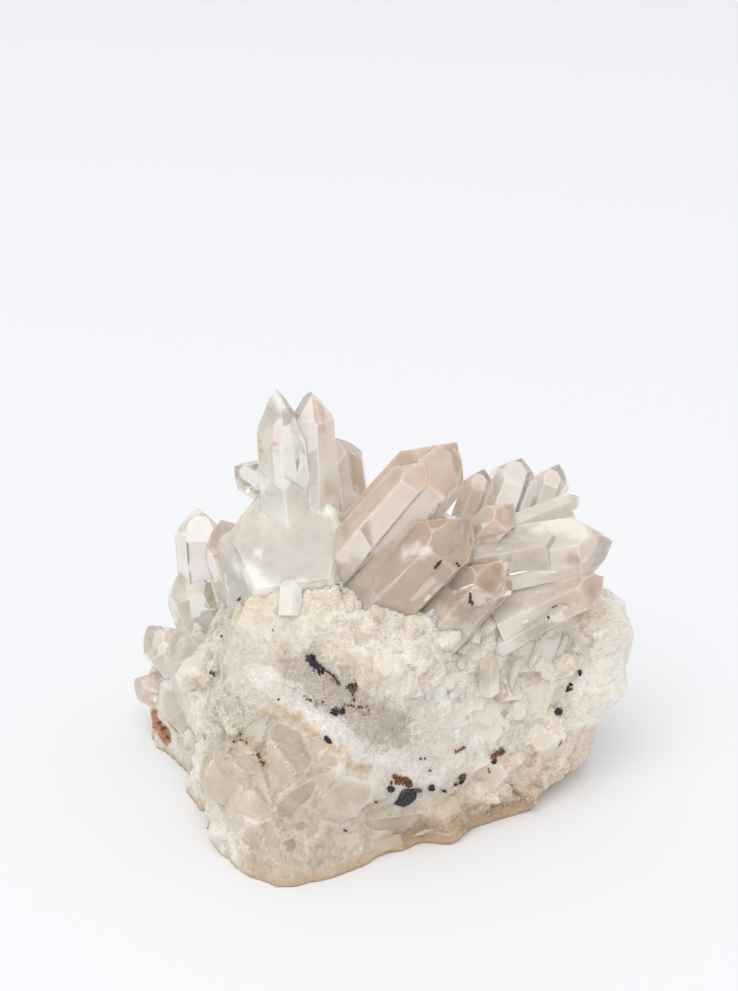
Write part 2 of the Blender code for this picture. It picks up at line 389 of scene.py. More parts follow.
SPRAY = {
    "tall clear": dict(foot=(-19.9, 6, 56), tip=(-23, 6, 97.1), width=12, roll=0, slope=65,
                       clear=0.6, pink=0.0, buried=0.3),
    "tall hazy": dict(foot=(-14.4, 4.2, 47), tip=(-15.6, 9, 94.8), width=10.8, roll=10,
                      worn=0.05, backs=(0, 0.2, 0.3, 0, 0.05, 0), clear=0.45, pink=0.4, buried=0.3),
    "behind": dict(foot=(-7.3, 13, 50), tip=(-10.8, 19, 80.2), width=12, roll=0, slope=40, clear=0.5, pink=0.6, smoke=0.1),
    "tiny behind": dict(foot=(-1.9, 22, 50), tip=(-1, 24, 72.6), width=4.5, slope=40, worn=0, clear=0.6),
    "big left": dict(foot=(-16, 4, 36), tip=(-23, 7, 78.5), width=30, worn=0.5,
                     backs=(0, 0.15, 0, 0.15, -0.12, 0.15), clear=0.4, pink=0.0, smoke=0.2),
    "left nub": dict(foot=(-24, 10, 71.7), tip=(-32.6, 8, 78.3), width=8, clear=0.8, pink=0.2),
    "leaning": dict(foot=(-14, 4, 48), tip=(15.2, 3, 86.2), width=16.5, clear=0.5, pink=0.7, smoke=0.15),
    "leaning front": dict(foot=(-12.5, -1.2, 56.8), tip=(8.2, -1.9, 83.8), width=9.5, clear=0.45, pink=0.6,
                          buried=-0.5),
    "lower leaning": dict(foot=(-11, -4, 40), tip=(18, -6, 73), width=16, clear=0.45, pink=0.8, smoke=0.33),
    "right small": dict(foot=(14, 9, 50), tip=(21.7, 14, 75), width=7.5, clear=0.5, pink=0.5),
    "right clear": dict(foot=(20, 12, 48), tip=(30.2, 18, 75.8), width=11, slope=46, clear=0.8, pink=0.3),
    "right behind": dict(foot=(30, 20, 48), tip=(39, 25, 71.2), width=8.5, clear=0.6, pink=0.2),
    "thin lying": dict(foot=(24, 8, 62), tip=(42.7, 12, 69), width=5, clear=0.5, pink=0.2),
    "lying": dict(foot=(15, 1, 57), tip=(49.5, 4, 62.2), width=14.5, clear=0.5, pink=0.3, buried=0.2),
    "lying front": dict(foot=(17.9, -1.4, 60.0), tip=(38.0, 0.3, 63.4), width=10, slope=40, clear=0.6,
                        pink=0.45, buried=-0.2),
    "right low": dict(foot=(24, -5, 46), tip=(47.5, 0, 55.6), width=11, clear=0.55, pink=0.6),
    "between": dict(foot=(12, -1, 56), tip=(27.6, 2, 72.3), width=8.5, clear=0.4, pink=0.7),
    "front small": dict(foot=(11, -10, 46), tip=(24.7, -9, 64.2), width=11, clear=0.45, pink=0.8, smoke=0.35),
    "dark tip": dict(foot=(17, -9, 49), tip=(27, -8, 59), width=5, clear=0.4, pink=0.9, smoke=0.6),
    "flat lying": dict(foot=(22, -9, 41.5), tip=(40, -7, 52), width=4.6, clear=0.6, pink=0.4),
    "upper left": dict(foot=(-27, 12, 34), tip=(-37, 26, 57), width=13, clear=0.5, pink=0.5),
}
FLANK = {
    "back left": dict(foot=(-41, 33, 28), tip=(-43.2, 36, 55.2), width=11.5, clear=0.95, pink=0.1),
    "middle flank": dict(foot=(-38, 24, 22), tip=(-46.6, 34, 41), width=13, clear=0.45, pink=0.15),
    "lower flank": dict(foot=(-43, 24, 14), tip=(-55.5, 33, 26), width=10.5, clear=0.4, pink=0.3),
    "low flank": dict(foot=(-47, 25, 9), tip=(-59.2, 31, 12.5), width=8, clear=0.4, pink=0.5),
}
SIDE = {
    "flat side": dict(foot=(-39, 8, 14), tip=(-46.5, 13, 36), width=11, clear=0.4, pink=0.35),
    "clear block": dict(foot=(-41, 10, 10), tip=(-50, 13, 20), width=9, clear=0.5, pink=0.25),
}
BACK_SEED = 5
BACK_CRYSTALS = 12


def direction(heading, rise):
    """A unit vector from a heading round +Z, from +X, and a rise above level, in degrees."""
    turn, lift = math.radians(heading), math.radians(rise)
    level = math.cos(lift)
    return Vector((level * math.cos(turn), level * math.sin(turn), math.sin(lift)))


def back_crystals():
    """The crystals that fan out from the top and down the back."""
    chance = random.Random(BACK_SEED)
    crystals = {}
    for number in range(BACK_CRYSTALS):
        share = number / (BACK_CRYSTALS - 1)
        side = 34 - 54 * share
        heading = 50 + 68 * share + chance.uniform(-12, 12)
        along = direction(heading, chance.uniform(22, 60))
        foot = Vector((side, chance.uniform(16, 20), chance.uniform(40, 46)))
        crystals[f"back {number}"] = dict(
            foot=foot - along * 9,
            tip=foot + along * chance.uniform(11, 22),
            width=chance.uniform(7, 12),
            roll=chance.uniform(0, 60),
        )
    return crystals


def buried_share(foot, tip, ground):
    """How much of a crystal's length is inside the rock, from its foot."""
    back = foot - tip
    place, _, _, reach = ground.ray_cast(tip * MM, back.normalized(), back.length * MM)
    return 1 - reach / MM / back.length if place else 0.0


def grown(name, crystals, ground):
    """The crystals of one group, grown together."""
    solids = []
    for shape in crystals.values():
        foot, tip = (Vector(shape[end]) - GRID_MIDDLE for end in ("foot", "tip"))
        share = shape.get("buried", min(buried_share(foot, tip, ground), 0.8))
        solids.append(crystal(**(shape | dict(foot=foot, tip=tip, buried=share))))
    piece = joined(f"{name}_surface", solids)
    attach(piece, "root")
    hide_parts(name)
    return piece


# Pixels of the photograph where a crystal is frosted white or tinged with amber, and the reach in
# millimetres. The amber is partly a real stain and partly a painted reflection inside the crystal.
FROST = [
    (276, 397, 1.0), (284, 405, 1.2), (284, 452, 0.8), (236, 566, 1.8), (246, 574, 2.2), (256, 584, 2.2), (268, 592, 2.2), (300, 588, 1.6), (318, 590, 1.6),
    (334, 584, 1.4), (344, 474, 1.0), (406, 553, 1.4), (416, 549, 1.4), (426, 553, 1.0), (508, 486, 1.8), (512, 496, 1.6),
    (540, 530, 2.0), (553, 524, 1.8), (568, 526, 2.2), (583, 533, 2.0), (197, 512, 1.4), (330, 508, 1.6),
]
AMBER_STAIN_AND_REFLECTION = [
    (259, 443, 0.5), (260, 450, 0.8), (274, 447, 0.6), (278, 453, 0.9), (322, 428, 1.0), (500, 566, 1.2), (487, 586, 1.2),
    (592, 590, 1.2), (574, 560, 1.2), (545, 567, 0.8),
]


def quartz_crystal(surfaces):
    """Crystal faces with a glassy skin: milky at the foot, hazier or clearer and pinker above."""
    made = Finish("Hazy crystal")
    place = made.millimetres()
    along = made.map_place("growth", 0)
    smoke = made.map_place("growth", 1)
    clear = made.map_place("nature", 0)
    pink = made.map_place("nature", 1)
    shade = made.map_place("face", 0)
    inward = made.map_place("face", 1)
    clouds = made.noise(place, 8.0, 3.0, 0.5, 0.3)
    veils = made.noise(place, 2.6, 4.0, 0.6, 0.5)
    foot = made.rise(along + (veils - 0.5) * 0.7, 0.55, -0.05)
    # Painted warm glints: pink-brown flecks that stand in for warm light reflected inside the pink crystals
    painted_warm_glint = made.rise(made.noise(place, 5.0, 3.0, 0.55, 0.6) + along * 0.12, 0.6, 0.72) * pink
    frost, amber_stain_and_reflection = (
        made.spots(place, surfaces, marks, (veils - 0.5) * 3.5) for marks in (FROST, AMBER_STAIN_AND_REFLECTION)
    )

    flush = pink * 0.8 + along * 0.4 - 0.25 + (clouds - 0.5) * 0.6 + (shade - 0.5) * 0.35 + amber_stain_and_reflection * 0.3
    color = made.mix(made.rise(flush, 0.0, 1.0), paint(230, 225, 215), paint(212, 186, 169))
    color = made.mix(smoke * (0.7 + 0.6 * veils), color, paint(178, 158, 138))
    # Amber: partly a real stain, partly a painted reflection inside the crystal
    color = made.mix(amber_stain_and_reflection * 0.4, color, paint(188, 146, 108))
    color = made.mix(foot * 0.8, color, paint(238, 232, 222))
    color = made.mix(painted_warm_glint * 0.5, color, paint(214, 176, 150))
    # Painted highlight: the worn edges and a thin band just inside each face's edge are made lighter, standing in
    # for light caught and scattered at the edges
    color = made.mix((1.0 - inward) * (1.0 - inward) * 0.25, color, paint(242, 234, 224))
    color = made.mix(frost * 0.6, color, paint(247, 243, 236))

    haze = 1.0 - clear * 0.7 + (clouds - 0.5) * 0.7 + (shade - 0.5) * 0.45 + foot * 0.6
    haze = made.rise(haze + frost * 0.5 + (veils - 0.5) * 0.4, 0.05, 1.25, 0.3, 0.96)
    outside = 1.0 - made.node("ShaderNodeNewGeometry", out="Backfacing")
    skin = made.bump(made.noise(place, 1.6, 3.0, 0.5), 0.00004, 0.4)
    body = made.node("ShaderNodeBsdfPrincipled", {}, {
        "Base Color": color, "Roughness": 0.1, "IOR": 1.544, "Subsurface Weight": 1.0,
        "Subsurface Radius": (1.0, 0.85, 0.72), "Subsurface Scale": 0.0022, "Normal": skin,
    })
    glass = made.node("ShaderNodeBsdfPrincipled", {}, {
        "Base Color": made.mix(made.rise(flush + smoke * 0.5, -0.2, 1.2), (1.0, 0.985, 0.965, 1.0),
                               (0.95, 0.85, 0.77, 1.0)),
        "Roughness": 0.03, "IOR": 1.544, "Transmission Weight": 1.0, "Normal": skin,
    })
    inside = made.node("ShaderNodeVolumeAbsorption", {}, {"Color": (0.94, 0.84, 0.76, 1.0), "Density": 7.0})
    shader = made.node("ShaderNodeMixShader", {}, {0: haze * outside, 1: glass, 2: body})
    return made.surface(shader, inside)


# ---------------------------------------------------------------- the rock

ROCK_GRAIN = 0.66
ROCK_FACES = 190000
CHIP_SEED = 23

# Zones of the rock's front, along paths of pixels in the photograph, with their reach and soft
# edge in millimetres
ZONES = {
    "calm": ([[(262, 640), (320, 690), (372, 730), (425, 765)]], 8.0, 6.0),
    "speckled": ([[(304, 672), (330, 690), (362, 710), (392, 728)]], 2.2, 6.5),
    "tan": ([[(322, 652), (352, 664), (372, 676)], [(276, 652), (290, 668)]], 1.0, 5.0),
    "ridge": ([[(262, 675), (285, 690), (322, 725), (350, 745), (400, 765), (440, 775)]], 1.6, 2.4),
    "lumpy": ([[(232, 600), (225, 660), (212, 700)], [(236, 700), (262, 712)]], 5.0, 5.0),
    "yellow": ([[(248, 596), (258, 604), (268, 612)], [(240, 612), (262, 616)]], 0.6, 3.6),
    "golden": ([[(236, 734), (246, 742), (258, 752), (262, 768)], [(262, 711), (285, 708), (300, 720), (316, 735), (332, 746), (345, 760), (366, 772)],
                [(232, 740), (245, 738)], [(255, 752), (266, 762)]], 0.3, 1.6),
    "glassy": ([[(225, 780), (280, 760), (290, 800), (350, 830), (440, 835)], [(290, 850), (350, 845)]],
               8.0, 4.0),
    "pinkish": ([[(470, 800), (540, 785), (575, 755)], [(400, 850), (480, 830)]], 6.0, 6.0),
    "cream": ([[(600, 590), (622, 640), (612, 700), (590, 745)]], 7.0, 8.0),
    "right_edge": ([[(604, 604), (622, 625), (628, 650), (622, 680), (606, 700), (597, 716), (590, 735)]], 5.5, 5.0),
    "notch": ([[(609, 652), (612, 661), (609, 670)]], 4.5, 5.0),
    "shoulder": ([[(598, 612), (608, 618), (616, 630)]], 4.0, 7.0),
    "low_edge": ([[(250, 856), (266, 868), (284, 872), (310, 868), (350, 856)]], 2.0, 8.0),
    "shaded": ([[(606, 715), (592, 752), (572, 782), (548, 800)], [(400, 846), (440, 838), (480, 826), (520, 808)]],
               2.5, 4.0),
    "blue": ([[(428, 616), (436, 624)]], 0.3, 0.9),
    "rusty": ([[(156, 720), (166, 735)]], 1.6, 2.5),
    "dark": ([[(309, 657), (318, 666)], [(318, 666), (325, 671)], [(335, 711), (342, 712)],
              [(350, 684), (355, 686)]], 0.35, 0.9),
    "brown": ([[(325, 671), (333, 674), (341, 683)], [(345, 704), (356, 706), (368, 710)],
               [(303, 700), (314, 703)], [(350, 686), (357, 689)]], 0.1, 0.8),
}

class Ground:
    """The rock's points in millimetres, with what is around each."""

    def __init__(self, mesh):
        self.mesh = mesh
        self.spots = np.empty(len(mesh.vertices) * 3, np.float32)
        mesh.vertices.foreach_get("co", self.spots)
        self.spots = self.spots.reshape(-1, 3).astype(float) / MM
        edges = np.empty(len(mesh.edges) * 2, np.int32)
        mesh.edges.foreach_get("vertices", edges)
        self.edges = edges.reshape(-1, 2)
        self.near = np.bincount(self.edges.ravel(), minlength=len(self.spots))
        self.read_facings()

    def read_facings(self):
        self.facings = np.empty(len(self.spots) * 3, np.float32)
        self.mesh.vertex_normals.foreach_get("vector", self.facings)
        self.facings = self.facings.reshape(-1, 3).astype(float)

    def write(self):
        self.mesh.vertices.foreach_set("co", (self.spots * MM).astype(np.float32).ravel())
        self.mesh.update()
        self.read_facings()

    def smooth(self, share, rounds):
        """Evens out the surface, by a share for each point."""
        first, second = self.edges.T
        for _ in range(rounds):
            middle = np.empty_like(self.spots)
            for way in range(3):
                middle[:, way] = np.bincount(first, self.spots[second, way], len(self.spots))
                middle[:, way] += np.bincount(second, self.spots[first, way], len(self.spots))
            middle /= np.maximum(self.near, 1)[:, None]
            self.spots += (middle - self.spots) * share[:, None]
        self.write()

    def push(self, height):
        self.spots += self.facings * height[:, None]

    def keep(self, name, values):
        """Keeps a number for each point, which the material reads."""
        layer = self.mesh.attributes.new(name, "FLOAT", "POINT")
        layer.data.foreach_set("value", values.astype(np.float32))


def softly(values, low, high):
    share = np.clip((values - low) / (high - low), 0, 1)
    return share * share * (3 - 2 * share)


def uneven(spots, size, depth=3):
    """Soft noise between about -1 and 1 at each spot, with lumps of size millimetres."""
    return np.array([
        noise.fractal(Vector(spot) / size, 0.6, 2.1, depth) for spot in spots.tolist()
    ])


def wandering(spots, size, reach):
    """The spots, moved about a little, so that a zone's edge isn't even."""
    moved = [noise.noise_vector(Vector(spot) / size) for spot in spots.tolist()]
    return spots + np.array(moved) * reach


def zone(spots, paths, reach, soft):
    """1 within reach of the paths, and 0 past their soft edge."""
    nearest = np.full(len(spots), 1e9)
    for path in paths:
        for first, second in zip(path, path[1:]):
            along = second - first
            share = np.clip((spots - first) @ along / max(along @ along, 1e-9), 0, 1)
            away = np.linalg.norm(spots - first - share[:, None] * along, axis=1)
            nearest = np.minimum(nearest, away)
    return 1 - softly(nearest, reach, reach + soft)


def seen_on(surface, pixels):
    """Where the camera sees the surface under each pixel, in millimetres."""
    found = (sighted([surface], across, down) for across, down in pixels)
    return [np.array(seen[0]) for seen in found if seen]


def chips(spots, facings, seeds, tilt, step, chance):
    """Flat chips round the seeds: the height of each spot, its chip's own number and its edge."""
    tree = kdtree.KDTree(len(seeds))
    for number, seed in enumerate(seeds):
        tree.insert(Vector(seed), number)
    tree.balance()
    leans = np.array([[chance.gauss(0, tilt) for _ in range(3)] for _ in seeds])
    lifts = np.array([chance.uniform(-step, step) for _ in seeds])
    own = np.empty(len(spots), int)
    edge = np.empty(len(spots))
    for number, spot in enumerate(spots.tolist()):
        (place, first, near), (other, _, far) = tree.find_n(Vector(spot), 2)
        own[number] = first
        edge[number] = (far * far - near * near) / (2 * (other - place).length + 1e-6)
    height = lifts[own] + ((spots - seeds[own]) * leans[own]).sum(1)
    return height, own, edge


def rock_copy():
    """The rock as one even mesh of small squares."""
    bm = bmesh.new()
    bm.from_mesh(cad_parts["matrix"].data)
    bmesh.ops.remove_doubles(bm, verts=bm.verts, dist=1e-6)
    surface = BVHTree.FromBMesh(bm)
    rock = new_object("rock", bm)
    return changed(rock, "REMESH", mode="VOXEL", voxel_size=ROCK_GRAIN * MM), surface


def surface_of(piece):
    return BVHTree.FromObject(piece, bpy.context.evaluated_depsgraph_get())


def inside(places, outline):
    """How far each flat place is inside an outline, or outside it where below nothing."""
    corners = np.array(outline, float)
    nearest = np.full(len(places), 1e9)
    within = np.zeros(len(places), bool)
    for first, second in zip(corners, np.roll(corners, -1, 0)):
        along = second - first
        share = np.clip((places - first) @ along / (along @ along), 0, 1)
        nearest = np.minimum(nearest, np.linalg.norm(places - first - share[:, None] * along, axis=1))
        crosses = (places[:, 1] < first[1]) != (places[:, 1] < second[1])
        if first[1] != second[1]:
            where = first[0] + (places[:, 1] - first[1]) * along[0] / along[1]
            within ^= crosses & (places[:, 0] < where)
    return np.where(within, nearest, -nearest)


def seen_breaks(surface, chance):
    """The glassy breaks that show: the corners of each, the way it faces, its pink and its smoke."""
    breaks = []
    for outline, pink, smoke in GLASSY_BREAKS:
        places = [Vector(place) for place in seen_on(surface, outline)]
        middle = sum(places, Vector()) / len(places)
        facing = Vector()
        for first, second in zip(places, places[1:] + places[:1]):
            facing += (first - middle).cross(second - middle)
        if facing.dot(VIEW_AHEAD) > 0:
            facing.negate()
        facing = facing.normalized() + Vector([chance.uniform(-0.09, 0.09) for _ in range(3)])
        breaks.append((places, facing.normalized(), pink, smoke))
    return breaks


def other_breaks(ground, bare, chance):
    """Smaller glassy breaks all round the rock, where it is bare."""
    spots = np.flatnonzero((bare > 0.5) & (ground.spots[:, 2] > 4) & (ground.facings[:, 2] > -0.7))
    breaks = []
    for _ in range(OTHER_BREAKS):
        number = chance.choice(spots)
        spot = Vector(ground.spots[number])
        facing = Vector(ground.facings[number]) + Vector([chance.uniform(-0.24, 0.24) for _ in range(3)])
        facing.normalize()
        across = facing.orthogonal().normalized()
        up = facing.cross(across)
        reach = chance.uniform(1.2, 4.5)
        turn = chance.uniform(0, math.tau)
        corners = []
        for corner in range(5):
            angle = turn + math.tau * corner / 5
            away = reach * chance.uniform(0.6, 1.25)
            corners.append(spot + (across * math.cos(angle) + up * math.sin(angle)) * away)
        breaks.append((corners, facing, chance.uniform(0.2, 0.8), chance.uniform(-0.5, 0.25)))
    return breaks


def lay_breaks(ground, breaks):
    """Flattens the rock into each glassy break.

    Gives how far each spot is inside its break in millimetres, and the break's pink and smoke.
    """
    deep = np.full(len(ground.spots), -2.0)
    looks = np.zeros((2, len(ground.spots)))
    for places, facing, pink, smoke in breaks:
        middle = sum(places, Vector()) / len(places)
        reach = max((place - middle).length for place in places)
        across = facing.orthogonal().normalized()
        ways = np.array([across, facing.cross(across), facing])
        near = np.flatnonzero(np.linalg.norm(ground.spots - np.array(middle), axis=1) < reach + 2)
        flat = (ground.spots[near] - np.array(middle)) @ ways.T
        outline = (np.array([place - middle for place in places]) @ ways.T)[:, :2]
        within = np.where(np.abs(flat[:, 2]) < 4, inside(flat[:, :2], outline), -9)
        sunk = np.clip(-flat[:, 2], -0.8, 0.8) * softly(within, -0.3, 0.5)
        ground.spots[near] += sunk[:, None] * ways[2]
        first = within > deep[near]
        deep[near[first]] = within[first]
        looks[:, near[first]] = [[pink], [smoke]]
    ground.write()
    return deep, *looks


def away_from(surfaces, spots):
    """How far each spot is from the nearest of the surfaces, in millimetres."""
    far = np.full(len(spots), 1e9)
    for number, spot in enumerate(spots.tolist()):
        for surface in surfaces:
            place, facing, _, reach = surface.find_nearest(Vector(spot) * MM, 12 * MM)
            if place:
                hidden = (Vector(spot) * MM - place).dot(facing) < 0
                far[number] = min(far[number], -reach / MM if hidden else reach / MM)
    return far


def broken_surface(rock, surface, crystals):
    """Breaks, chips and sugars the rock's surface, and keeps its zones for the material."""
    chance = random.Random(CHIP_SEED)
    noise.seed_set(CHIP_SEED)
    ground = Ground(rock.data)
    here = wandering(ground.spots, 5.0, 1.6)
    zones = {
        name: zone(here, [seen_on(surface, path) for path in paths], reach, soft)
        for name, (paths, reach, soft) in ZONES.items()
    }
    calm = np.maximum(zones["calm"], zones["ridge"])
    glassy = zones["glassy"]
    far = away_from(crystals, ground.spots)
    feet = 1 - softly(far, 0.5, 7)
    ground.smooth(np.maximum(calm, glassy * 0.6) * 0.9, 20)
    ground.smooth(zones["right_edge"] * 0.95, 80)
    ground.push(zones["right_edge"] * 1.4 + zones["shoulder"] * 3.0 + zones["low_edge"] * 1.5)
    ground.smooth(zones["notch"] * 0.95, 160)
    ground.push(zones["notch"] * 1.8)
    ground.write()

    rim = softly(ground.spots[:, 2], 0.4, 5)
    rough = (1 - calm) * (1 - 0.6 * glassy) * rim * (1 - 0.7 * zones["cream"]) * (1 - 0.7 * feet)
    seeds = np.array([ground.spots[chance.randrange(len(ground.spots))] for _ in range(800)])
    large, own, large_edge = chips(ground.spots, ground.facings, seeds, 0.18, 0.3, chance)
    ground.push(np.clip(large, -0.8, 0.8) * rough)
    tones = np.array([chance.uniform(-1, 1) for _ in seeds])
    ground.write()

    seeds = np.array([ground.spots[chance.randrange(len(ground.spots))] for _ in range(4200)])
    small, small_own, small_edge = chips(ground.spots, ground.facings, seeds, 0.16, 0.16, chance)
    small_tones = np.array([chance.uniform(-1, 1) for _ in seeds])
    ground.push(np.clip(small, -0.4, 0.4) * rough)
    sugar = uneven(ground.spots, 1.6, 2)
    swell = uneven(ground.spots, 4.0, 3)
    fine = rim * (1 - 0.6 * glassy)
    ground.push(sugar * 0.09 * fine + swell * 0.3 * fine + 0.15)
    ground.push(np.clip(1 - np.abs(far) / 2.5, 0, 1) * 0.5 * rim)
    ground.write()

    covered = np.maximum(np.maximum(calm, glassy), zones["cream"])
    bare = (1 - softly(covered, 0.0, 0.3)) * softly(far, 2.5, 4.0)
    breaks = other_breaks(ground, bare, chance) + seen_breaks(surface, chance)
    deep, pink, smoke = lay_breaks(ground, breaks)
    low, high = (np.array(corner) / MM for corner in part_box("matrix"))
    ground.spots = np.clip(ground.spots, low, high)
    ground.spots[ground.spots[:, 2] < 0.35, 2] = 0
    ground.write()
    for name, values in zones.items():
        ground.keep(name, values)
    ground.keep("feet", feet)
    ground.keep("deep", np.clip(deep, -2, 4))
    ground.keep("break_pink", pink)
    ground.keep("break_smoke", smoke)
    ground.keep("tone", tones[own])
    ground.keep("small_tone", small_tones[small_own])
    ground.keep("edge", np.clip(large_edge, 0, 3))
    ground.keep("small_edge", np.clip(small_edge, 0, 3))


def milky_rock():
    """Milky quartz: sugary white, with glassy chips, stains and a tan rim."""
    made = Finish("Milky quartz")
    place = made.millimetres()
    part = {name: made.attribute(name) for name in (
        *ZONES, "feet", "tone", "small_tone", "edge", "small_edge", "deep", "break_pink", "break_smoke")}
    clouds = made.noise(place, 10.0, 4.0, 0.55, 0.4)
    patches = made.noise(place, 3.2, 4.0, 0.62, 0.4)
    crumbs = made.noise(place, 1.1, 3.0, 0.65)
    grit = made.noise(place, 0.38, 2.0, 0.6)
    drift = made.noise(place, 5.5, 3.0, 0.5, 0.8)
    wisps = made.noise(place, 1.5, 4.0, 0.65, 1.2)

    def patch(name, spread=0.9, soft=0.12):
        """A zone whose edge is broken up by the rock's own grain."""
        ragged = part[name] + (patches * 0.5 + crumbs * 0.35 + grit * 0.15 - 0.5) * spread
        return made.rise(ragged, 0.5 - soft, 0.5 + soft)

    def tint(name):
        """A soft stain, mottled by the rock's grain."""
        return part[name] * made.rise(patches * 0.6 + crumbs * 0.4, 0.36, 0.6)

    snow, cream, beige = paint(240, 234, 225), paint(234, 224, 209), paint(218, 202, 184)
    color = made.mix(made.rise(clouds, 0.35, 0.65), snow, cream)
    glass = made.rise(part["tone"] * 0.5 + part["small_tone"] * 0.35 + (patches - 0.5) * 1.6, 0.1, -0.7)
    color = made.mix(glass * (1.0 - part["feet"] * 0.5) * 0.8, color, beige)
    white = made.rise(part["small_edge"], 0.4, 0.05) * made.rise(crumbs, 0.42, 0.6)
    color = made.mix(white * 0.5, color, paint(250, 247, 241))
    color = made.mix(part["cream"] * 0.7, color, paint(250, 240, 226))
    color = made.mix(part["glassy"] * made.rise(patches, 0.4, 0.65, 0.95, 0.65), color, paint(195, 180, 160))
    seams = made.rise(part["edge"] + (crumbs - 0.5) * 0.6, 0.35, 0.0) * part["glassy"]
    color = made.mix(seams * 0.35, color, paint(236, 228, 216))
    color = made.mix(patch("pinkish", 1.0, 0.3) * 0.65, color, paint(214, 191, 168))
    color = made.mix(part["shaded"] * 0.9, color, paint(168, 137, 104))
    color = made.mix(part["lumpy"] * 0.85, color, paint(200, 192, 176))
    color = made.mix(part["feet"] * made.rise(patches, 0.4, 0.6, 0.4, 0.8), color, paint(222, 208, 190))
    color = made.mix(tint("yellow") * 0.7, color, paint(240, 214, 148))

    grain = grit * 0.55 + crumbs * 0.45
    # The valley is darker: partly real dark specks, partly painted shade of the hollow
    valley = part["speckled"] + (patches - 0.5) * 0.9
    valley_specks_and_shade = made.mix(made.rise(crumbs, 0.38, 0.62), paint(166, 149, 134), paint(204, 191, 177))
    speckled = made.rise(grain + (valley - 0.5) * 0.26, 0.46, 0.6)
    color = made.mix(part["calm"] * 0.5, color, paint(228, 219, 207))
    color = made.mix(speckled * 0.75, color, valley_specks_and_shade)
    sandy = made.rise(grain + (part["tan"] + (patches - 0.5) * 0.8 - 0.5) * 0.3, 0.46, 0.6)
    color = made.mix(sandy * 0.4, color, paint(204, 186, 160))
    color = made.mix(patch("ridge", 0.9, 0.3) * 0.6, color, paint(243, 237, 229))
    specks = made.rise(grit + (crumbs - 0.5) * 0.4 + valley * 0.1, 0.58, 0.64)
    color = made.mix(specks * part["calm"] * 0.65, color, paint(142, 122, 106))
    color = made.mix(tint("golden") * 0.85, color, paint(202, 164, 108))
    color = made.mix(made.rise(grit, 0.52, 0.68) * (0.5 - part["glassy"] * 0.35), color, paint(255, 253, 250))
    color = made.mix(made.rise(grit, 0.47, 0.32) * 0.45, color, paint(184, 165, 146))

    deep = part["deep"] + (wisps - 0.5) * 0.8 + (crumbs - 0.5) * 0.3 + (grit - 0.5) * 0.15
    face = made.rise(deep, -0.02, 0.1)
    gloom = part["break_smoke"] * 0.9 + (drift - 0.5) * 1.5 + (wisps - 0.5) * 0.5
    inner = made.mix(part["break_pink"], paint(231, 224, 212), paint(229, 216, 201))
    inner = made.mix(part["glassy"], inner, made.mix(part["break_pink"], paint(217, 207, 191), paint(213, 198, 181)))
    inner = made.mix(made.rise(gloom, 0.0, 1.2), inner, paint(163, 143, 121))
    inner = made.mix(made.rise(wisps, 0.54, 0.7) * 0.35, inner, paint(238, 230, 219))
    line = made.rise(deep, 0.45, 0.08) * made.rise(patches, 0.4, 0.6, 0.1, 0.6)
    inner = made.mix(line, inner, paint(242, 235, 225))
    color = made.mix(face * made.rise(drift, 0.35, 0.6, 0.95, 0.6), color, inner)

    color = made.mix(patch("blue", 0.8, 0.3) * 0.6, color, paint(160, 172, 184))
    color = made.mix(patch("rusty", 1.3, 0.2) * 0.85, color, paint(170, 98, 50))
    color = made.mix(patch("brown", 1.2, 0.2) * 0.6, color, paint(136, 106, 90))
    dust = made.rise(part["dark"] + (grit - 0.5) * 2.2 + (crumbs - 0.5) * 0.6, 0.62, 0.72)
    color = made.mix(dust * 0.95, color, paint(58, 60, 64))
    height = made.node("ShaderNodeSeparateXYZ", {}, {0: place}, 2)
    rim = made.rise(height + (patches - 0.5) * 5.0, 3.8, 0.2)
    color = made.mix(rim * 0.8, color, paint(214, 181, 145))

    rough = made.grains(place, 0.8, 0.7 * (1.0 - face * 0.9))
    rough = made.bump(grit, 0.00012, 0.8 * (1.0 - face * 0.8), rough)
    shader = made.node("ShaderNodeBsdfPrincipled", {}, {
        "Base Color": color, "Roughness": 0.34 - glass * 0.1 - face * 0.18, "IOR": 1.544,
        "Subsurface Weight": 0.95, "Subsurface Radius": (1.0, 0.85, 0.7), "Subsurface Scale": 0.004,
        "Normal": rough,
    })
    return made.surface(shader)


def finish_rock(rock, surface, crystals):
    broken_surface(rock, surface, crystals)
    triangles = sum(len(face.vertices) - 2 for face in rock.data.polygons)
    changed(rock, "DECIMATE", ratio=min(1.0, ROCK_FACES / triangles))
    rock.data.materials.clear()
    rock.data.materials.append(milky_rock())
    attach(rock, "root")
    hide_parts("matrix")


# ---------------------------------------------------------------- small crystals and dark grains

